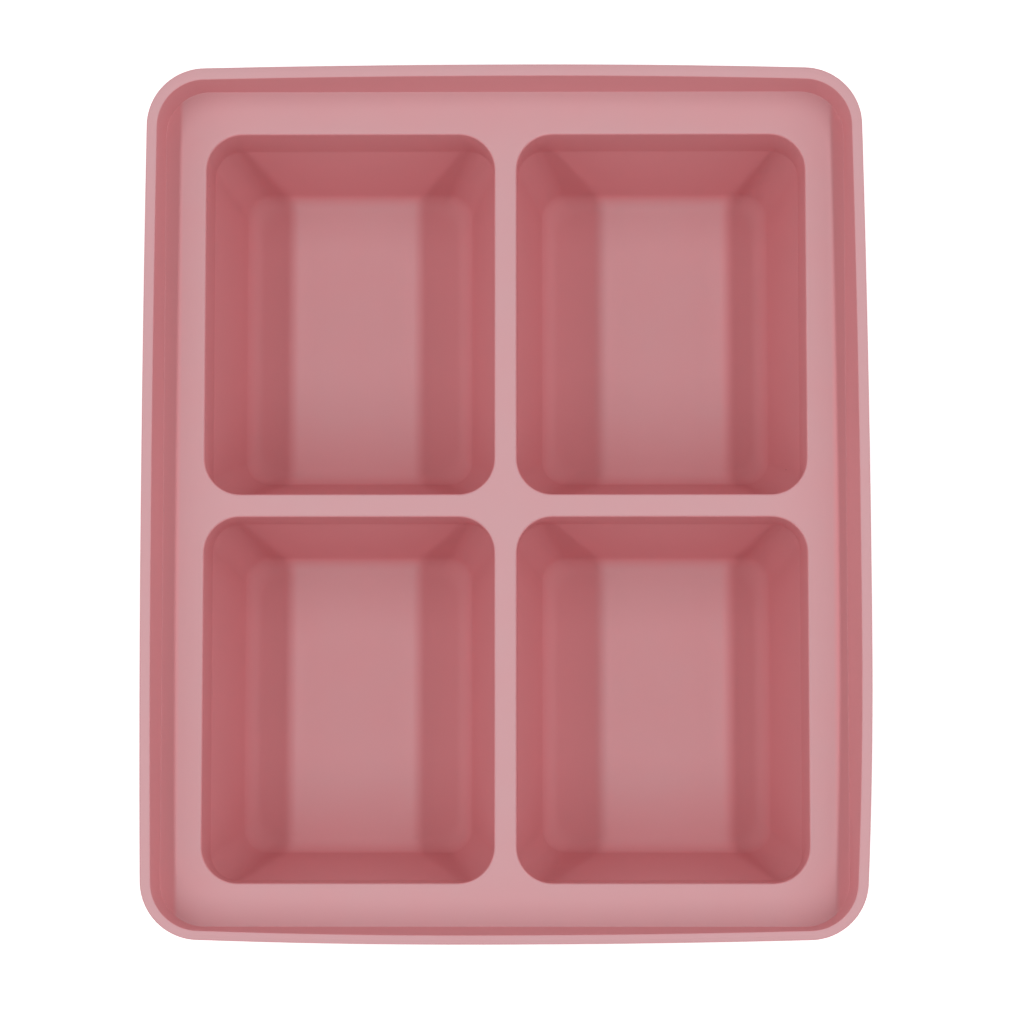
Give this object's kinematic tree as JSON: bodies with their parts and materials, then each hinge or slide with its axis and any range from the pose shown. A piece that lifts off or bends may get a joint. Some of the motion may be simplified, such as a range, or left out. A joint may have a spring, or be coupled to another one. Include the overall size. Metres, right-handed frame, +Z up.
{
  "type": "silicone soap mould",
  "caption": "Flexible silicone block mould: drafted rectangular wells in a tray with a raised, hoop-stiffened rim lip and floors that press up to release the blocks.",
  "frame": {"origin": "centre of the bounding box at its base, on the plane the feet rest on", "axes": "+X along the short side, to the right when the long side points away; +Y along the long side, towards the back; +Z up, out of the wells' mouths"},
  "size_m": [0.178, 0.2152, 0.066],
  "materials": {
    "silicone": "matt dusty rose silicone with a fine satin grain",
    "hoop_steel": "plain drawn spring wire"
  },
  "bodies": {
    "tray": {"tray_deck": "silicone", "rim_lip": "silicone", "rim_wire": "hoop_steel", "well_wall_back_left": "silicone", "well_wall_back_right": "silicone", "well_wall_front_left": "silicone", "well_wall_front_right": "silicone"},
    "floor_back_left": {"well_floor_back_left": "silicone"},
    "floor_back_right": {"well_floor_back_right": "silicone"},
    "floor_front_left": {"well_floor_front_left": "silicone"},
    "floor_front_right": {"well_floor_front_right": "silicone"}
  },
  "joints": [
    {"name": "press_back_left", "type": "slide", "parent": "tray", "child": "floor_back_left", "axis": [0, 0, 1], "range_m": [0, 0.015], "stiffness_N_per_m": 1200},
    {"name": "press_back_right", "type": "slide", "parent": "tray", "child": "floor_back_right", "axis": [0, 0, 1], "range_m": [0, 0.015], "stiffness_N_per_m": 1200},
    {"name": "press_front_left", "type": "slide", "parent": "tray", "child": "floor_front_left", "axis": [0, 0, 1], "range_m": [0, 0.015], "stiffness_N_per_m": 1200},
    {"name": "press_front_right", "type": "slide", "parent": "tray", "child": "floor_front_right", "axis": [0, 0, 1], "range_m": [0, 0.015], "stiffness_N_per_m": 1200}
  ]
}
